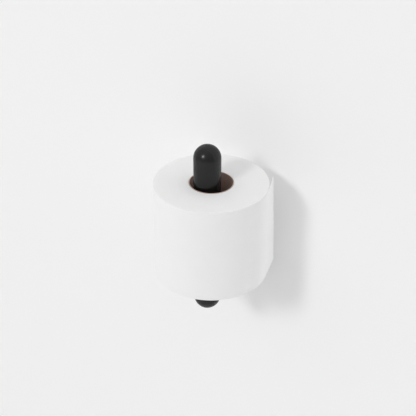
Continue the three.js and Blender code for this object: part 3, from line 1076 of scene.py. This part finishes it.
def make_core_tree(board, rim):
    """The core tube, with the step of its spiral seam, about +Z from height 0."""
    tree, inputs = start_tree("Spiral core", {
        "Inside": "Float", "Outside": "Float", "Height": "Float", "Pitch": "Float",
        "Step": "Float", "Place": "Vector",
    })
    tube = swept_ring(tree, inputs["Inside"], inputs["Outside"], inputs["Height"], CORE_EDGE,
                      CORE_SIDES, CORE_END_ROWS, CORE_WALL_ROWS)
    angle, radius, height = polar(tree)
    turns = spiral_turns(tree, "ADD", height, inputs["Pitch"], angle)
    rise = maths(tree, "MULTIPLY", maths(tree, "FRACT", turns), inputs["Step"])
    middle_radius = maths(tree, "MULTIPLY", maths(tree, "ADD", inputs["Inside"], inputs["Outside"]), 0.5)
    is_inside = maths(tree, "LESS_THAN", radius, middle_radius)
    place = from_polar(tree, angle, maths(tree, "ADD", radius, maths(tree, "MULTIPLY", rise, is_inside)),
                       height)
    end_tree(tree, moved(tree, reshaped(tree, tube, place), inputs["Place"]), board)
    paint_ends(tree, rim, 0.6)
    return tree


def make_roll_tree(side, ends):
    """The wound paper: a ring with the last layer's step, and layers that stand up or down at its ends."""
    tree, inputs = start_tree("Wound paper", {
        "Inside": "Float", "Outside": "Float", "Height": "Float", "Edge": "Float", "Step": "Float",
        "Step Angle": "Float", "Step Turn": "Float", "Ruffle": "Float", "Seed": "Float", "Place": "Vector",
    })
    ring = swept_ring(tree, inputs["Inside"], inputs["Outside"], inputs["Height"], inputs["Edge"],
                      ROLL_SIDES, ROLL_END_ROWS, ROLL_WALL_ROWS)
    angle, radius, height = polar(tree)

    # The last layer leaves at the step, and the layer under it takes a whole turn to rise to it again.
    past = maths(tree, "FRACT", maths(tree, "DIVIDE", maths(tree, "SUBTRACT", angle, inputs["Step Angle"]),
                                      2 * math.pi))
    drop = add_node(tree, "ShaderNodeMapRange", {"interpolation_type": "SMOOTHSTEP"},
                    Value=past, From_Max=inputs["Step Turn"], To_Max=inputs["Step"])
    lower = maths(tree, "MULTIPLY", maths(tree, "SUBTRACT", 1.0, past), drop.outputs["Result"])
    share = maths(tree, "DIVIDE", maths(tree, "SUBTRACT", radius, inputs["Inside"]),
                  maths(tree, "SUBTRACT", inputs["Outside"], inputs["Inside"]), clamp=True)
    lowered = maths(tree, "SUBTRACT", radius, maths(tree, "MULTIPLY", lower, share))

    # Layers wander up and down together, and each a little by itself.
    layer = maths(tree, "SUBTRACT", maths(tree, "MULTIPLY", radius, 1 / RUFFLE_PITCH),
                  maths(tree, "DIVIDE", angle, 2 * math.pi))
    around = from_polar(tree, angle, RUFFLE_ROUND, maths(tree, "MULTIPLY", layer, RUFFLE_ACROSS))
    seeded = add_node(tree, "ShaderNodeCombineXYZ", X=inputs["Seed"], Y=inputs["Seed"], Z=inputs["Seed"])
    at = vector_maths(tree, "ADD", around, seeded.outputs["Vector"])["Vector"]
    wander = add_node(tree, "ShaderNodeTexNoise", Vector=at, Scale=1.0, Detail=2.0)
    ruffle = maths(tree, "MULTIPLY", maths(tree, "SUBTRACT", wander.outputs["Fac"], 0.5),
                   maths(tree, "MULTIPLY", inputs["Ruffle"], 2.0))
    up_share = maths(tree, "DIVIDE", height, inputs["Height"])
    from_middle = maths(tree, "ABSOLUTE", maths(tree, "SUBTRACT", up_share, 0.5))
    is_end = maths(tree, "GREATER_THAN", from_middle, 0.5 - RUFFLED_SHARE)
    lifted = maths(tree, "ADD", height, maths(tree, "MULTIPLY", ruffle, is_end))

    place = from_polar(tree, angle, lowered, lifted)
    end_tree(tree, moved(tree, reshaped(tree, ring, place), inputs["Place"]), side)
    paint_ends(tree, ends, 0.75)
    return tree


class HOLDER_OT_make_roll(bpy.types.Operator):
    """Make the wound paper and its cardboard core"""

    bl_idname = "holder.make_roll"
    bl_label = "Paper Roll and Core"

    def execute(self, context):
        sizes = context.scene.holder_sizes
        paper = grown(
            make_roll_tree(finish(context, "tissue"), finish(context, "tissue ends")),
            Inside=CORE_OUTSIDE + JOINT_GAP / 3, Outside=ROLL_RADIUS,
            Height=ROLL_HEIGHT, Edge=sizes.paper_edge, Step=sizes.ply_step,
            Step_Angle=tail_leave(sizes, 0) - math.radians(STEP_BEFORE_LEAVE),
            Step_Turn=STEP_DEGREES / 360,
            Ruffle=sizes.paper_ruffle, Seed=float(sizes.seed), Place=tuple(ROLL_FOOT),
        )
        add_piece("wound_paper", paper, "roll", ["paper_roll"], "tissue_paper")
        board = finish(context, "core board", sizes.board_pitch)
        core = grown(
            make_core_tree(board, finish(context, "core board edge")),
            Inside=CORE_OUTSIDE - CORE_WALL, Outside=CORE_OUTSIDE, Height=ROLL_HEIGHT + CORE_STANDS_OUT,
            Pitch=sizes.board_pitch, Step=SEAM_STEP, Place=tuple(ROLL_FOOT),
        )
        add_piece("spiral_core", core, "roll", ["cardboard_core"], "cardboard")
        return {"FINISHED"}


# ---------------------------------------------------------------- loose paper

TAIL_ROOT_DEGREES = 14     # how much of the roll the loose sheet's bottom still follows
SUNK_DEGREES = 9           # how much of that lies a little under the roll's surface
SUNK_DEPTH = 0.12 * MM
STEP_BEFORE_LEAVE = 8      # degrees from where the roll steps down to where the sheet leaves it
STEP_DEGREES = 6
SHEET_MARGIN = 0.12 * MM   # how far inside the roll's ends the sheet's edges are
SHEET_WIDTH = ROLL_HEIGHT - 2 * SHEET_MARGIN
TAIL_COLUMNS = 64
TAIL_ROWS = 90
PAPER_THICKNESS = 0.22 * MM
PLY_SHARE = 0.8            # of that thickness, what one ply fills
INNER_SHORTER = 0.9 * MM   # how much shorter the inner ply is torn
RIPPLE = 0.15 * MM
TEARS = ((0.5 * MM, 31), (0.3 * MM, 140))    # depth of the torn edge's waves, and how many go up it
TEAR_APART = 9000          # keeps the two plies' torn edges unlike each other


def tail_leave(sizes, up):
    """The angle at which the loose sheet leaves the roll, from its bottom (0) to its top (1)."""
    return sizes.tail_angle - sizes.tail_twist * (1 - up)


def tail_root(sizes):
    """The angle at which the loose sheet begins on the roll."""
    return tail_leave(sizes, 0) - math.radians(TAIL_ROOT_DEGREES)


def tail_lengths(sizes, up, shorter):
    """The sheet's length on the roll and off it, at a share of its height."""
    on_roll = ROLL_RADIUS * (tail_leave(sizes, up) - tail_root(sizes))
    return on_roll, sizes.tail_bottom + (sizes.tail_top - sizes.tail_bottom) * up - shorter


def tail_point(sizes, along, up, length, depth):
    """A point of the loose sheet: along it from its root, up it, and how deep in its plies."""
    leave = tail_leave(sizes, up)
    height = ROLL_BOTTOM + SHEET_MARGIN + up * SHEET_WIDTH
    centre = Vector((ROLL_AXIS.x, ROLL_AXIS.y, height))
    sunk = max(0.0, 1 - along / ROLL_RADIUS / math.radians(SUNK_DEGREES)) ** 2 * SUNK_DEPTH
    radius = ROLL_RADIUS - depth - sunk
    angle = tail_root(sizes) + along / ROLL_RADIUS
    if angle < leave:
        return centre + Vector((math.cos(angle), math.sin(angle), 0)) * radius
    free = (angle - leave) * ROLL_RADIUS
    out = Vector((math.cos(leave), math.sin(leave), 0))
    forward = Vector((-out.y, out.x, 0))
    share = free / length
    ripple = RIPPLE * share * math.sin(2 * math.pi * (1.3 * up + 0.6 * share))
    return centre + out * (radius + ripple) + forward * free


def make_tail(sizes, depth, shorter):
    """One ply of the loose sheet, with a ragged torn edge that slants down and out."""
    body = bmesh.new()
    grid = []
    for row in range(TAIL_ROWS + 1):
        up = row / TAIL_ROWS
        on_roll, length = tail_lengths(sizes, up, shorter)
        ragged = sum(size * noise.noise((up * waves, depth * TEAR_APART, sizes.seed))
                     for size, waves in TEARS)
        total = on_roll + length + ragged
        grid.append([body.verts.new(tail_point(sizes, total * column / TAIL_COLUMNS, up, length, depth))
                     for column in range(TAIL_COLUMNS + 1)])
    for low, high in zip(grid, grid[1:]):
        for column in range(TAIL_COLUMNS):
            body.faces.new((low[column], low[column + 1], high[column + 1], high[column]))
    mesh = bpy.data.meshes.new("loose sheet")
    body.to_mesh(mesh)
    body.free()
    return mesh


class HOLDER_OT_make_tail(bpy.types.Operator):
    """Make the loose end of the paper in two plies"""

    bl_idname = "holder.make_tail"
    bl_label = "Loose Paper"

    def execute(self, context):
        sizes = context.scene.holder_sizes
        tissue = finish(context, "tissue")
        plies = {"loose_sheet_outer": (0.0, 0.0), "loose_sheet_inner": (PAPER_THICKNESS, INNER_SHORTER)}
        for name, (depth, shorter) in plies.items():
            mesh = make_tail(sizes, depth, shorter)
            sheet = add_piece(name, mesh, "roll", ["loose_tail"], "tissue_paper", tissue)
            thick = sheet.modifiers.new("ply", "SOLIDIFY")
            thick.thickness = PAPER_THICKNESS * PLY_SHARE
            thick.offset = -1
        return {"FINISHED"}


# ---------------------------------------------------------------- stage

STAGE_SIZE = 12.0
WALL_BEHIND = 0.2 * MM     # the stage's wall stands this far behind the mount face
FLOOR_BELOW = 0.9


def make_wall_material(name, colour, glow):
    """Plain matte paint that can be looked through from behind, with an even painted glow of its own that
    lifts the shade of the shadows on it.
    """
    material, tree, shader = start_material(name)
    fill(tree, shader, Base_Color=(*colour, 1), Roughness=1.0, Specular_IOR_Level=0.0,
         # The emission is painted light: the wall glows though it is no lamp, so the shadows cast on it come
         # out paler.
         Emission_Color=(1, 1, 1, 1), Emission_Strength=glow)
    clear = tree.nodes.new("ShaderNodeBsdfTransparent")
    behind = tree.nodes.new("ShaderNodeNewGeometry").outputs["Backfacing"]
    either = tree.nodes.new("ShaderNodeMixShader")
    tree.links.new(behind, either.inputs[0])
    tree.links.new(shader.outputs[0], either.inputs[1])
    tree.links.new(clear.outputs[0], either.inputs[2])
    tree.links.new(either.outputs[0], tree.nodes["Material Output"].inputs["Surface"])
    return material


def add_stage_plane(name, size, matrix, material):
    """A large plane that receives shadows and throws light back, but blocks none."""
    mesh = bpy.data.meshes.new(name)
    half = size / 2
    mesh.from_pydata([(-half, -half, 0), (half, -half, 0), (half, half, 0), (-half, half, 0)], [],
                     [(0, 1, 2, 3)])
    mesh.transform(matrix)
    mesh.materials.append(material)
    plane = put_in_scene(name, mesh)
    plane.visible_transmission = False
    plane.visible_shadow = False


def direction(azimuth, elevation):
    """The unit vector towards a place round the holder; azimuth 0 is straight in front of the wall."""
    return Vector((math.sin(azimuth) * math.cos(elevation), -math.cos(azimuth) * math.cos(elevation),
                   math.sin(elevation)))


class HOLDER_OT_make_stage(bpy.types.Operator):
    """Make the camera, the plain wall and floor, and the soft light"""

    bl_idname = "holder.make_stage"
    bl_label = "Stage"

    def execute(self, context):
        stage = context.scene.holder_stage
        self.make_camera(context, stage)
        self.make_surfaces(stage)
        self.make_light(context, stage)
        return {"FINISHED"}

    def make_camera(self, context, stage):
        right = Vector((math.cos(stage.azimuth), math.sin(stage.azimuth), 0))
        aim = Vector((ROLL_AXIS.x, ROLL_AXIS.y, ROLL_TOP + stage.aim_up)) + right * stage.aim_right
        back = direction(stage.azimuth, stage.elevation)
        camera = put_in_scene("camera", bpy.data.cameras.new("camera"))
        camera.location = aim + back * stage.distance
        camera.rotation_euler = (-back).to_track_quat("-Z", "Y").to_euler()
        camera.data.lens = stage.lens
        context.scene.camera = camera

    def make_surfaces(self, stage):
        paint = make_wall_material("stage wall paint", stage.wall_colour, stage.wall_glow)
        wall_turn = Matrix.Translation((0, WALL_BEHIND, 0)) @ Matrix.Rotation(math.radians(90), 4, "X")
        add_stage_plane("stage_wall", STAGE_SIZE, wall_turn, paint)
        paint = make_wall_material("stage floor paint", stage.wall_colour, 0.0)
        floor_place = Matrix.Translation((0, -STAGE_SIZE / 2, -FLOOR_BELOW))
        add_stage_plane("stage_floor", STAGE_SIZE, floor_place, paint)

    def make_room(self, stage):
        """Light from all round, that fades softly towards the room's darker sides."""
        world = bpy.data.worlds.new("room")
        world.use_nodes = True
        tree = world.node_tree
        towards = add_node(tree, "ShaderNodeTexCoord").outputs["Generated"]
        strength = stage.room
        darker = {(1, 0, 0): stage.less_right, (0, -1, 0): stage.less_front, (0, 0, -1): stage.less_below}
        for axis, lack in darker.items():
            facing = vector_maths(tree, "DOT_PRODUCT", towards, axis)["Value"]
            side = maths(tree, "POWER", maths(tree, "MAXIMUM", facing, 0.0), 2.0)
            strength = maths(tree, "MULTIPLY_ADD", side, -lack, strength)
        place_input(tree, tree.nodes["Background"].inputs["Strength"], strength)
        tree.nodes["Background"].inputs["Color"].default_value = (1, 1, 1, 1)
        return world

    def make_light(self, context, stage):
        context.scene.world = self.make_room(stage)
        lamp = bpy.data.lights.new("key", "AREA")
        lamp.shape = "DISK"
        lamp.size = stage.key_size
        lamp.energy = stage.key_power
        key = put_in_scene("key", lamp)
        towards = direction(stage.key_azimuth, stage.key_elevation)
        key.location = ROLL_AXIS + towards * stage.key_distance
        key.rotation_euler = (-towards).to_track_quat("-Z", "Y").to_euler()
        context.scene.view_settings.view_transform = "Standard"


# ---------------------------------------------------------------- panel and registration

class HOLDER_PT_panel(bpy.types.Panel):
    """The holder's pieces, sizes and colours"""

    bl_idname = "HOLDER_PT_panel"
    bl_label = "Paper Holder"
    bl_space_type = "VIEW_3D"
    bl_region_type = "UI"
    bl_category = "Paper Holder"

    def draw(self, context):
        layout = self.layout
        for operator in OPERATORS:
            layout.operator(operator.bl_idname)
        for group in (context.scene.holder_sizes, context.scene.holder_colours, context.scene.holder_stage):
            box = layout.box()
            for name in group.__annotations__:
                box.prop(group, name)


OPERATORS = (
    HOLDER_OT_make_stage,
    HOLDER_OT_make_pin,
    HOLDER_OT_make_arm,
    HOLDER_OT_make_fixings,
    HOLDER_OT_make_seat,
    HOLDER_OT_make_roll,
    HOLDER_OT_make_tail,
)
CLASSES = (HolderSizes, HolderColours, HolderStage, *OPERATORS, HOLDER_PT_panel)


def register():
    for cls in CLASSES:
        bpy.utils.register_class(cls)
    bpy.types.Scene.holder_sizes = PointerProperty(type=HolderSizes)
    bpy.types.Scene.holder_colours = PointerProperty(type=HolderColours)
    bpy.types.Scene.holder_stage = PointerProperty(type=HolderStage)


def unregister():
    del bpy.types.Scene.holder_stage
    del bpy.types.Scene.holder_colours
    del bpy.types.Scene.holder_sizes
    for cls in reversed(CLASSES):
        bpy.utils.unregister_class(cls)


def main():
    """Registers the add-on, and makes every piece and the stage."""
    register()
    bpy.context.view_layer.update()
    for operator in OPERATORS:
        group, name = operator.bl_idname.split(".")
        getattr(getattr(bpy.ops, group), name)()


if __name__ == "__main__":
    main()
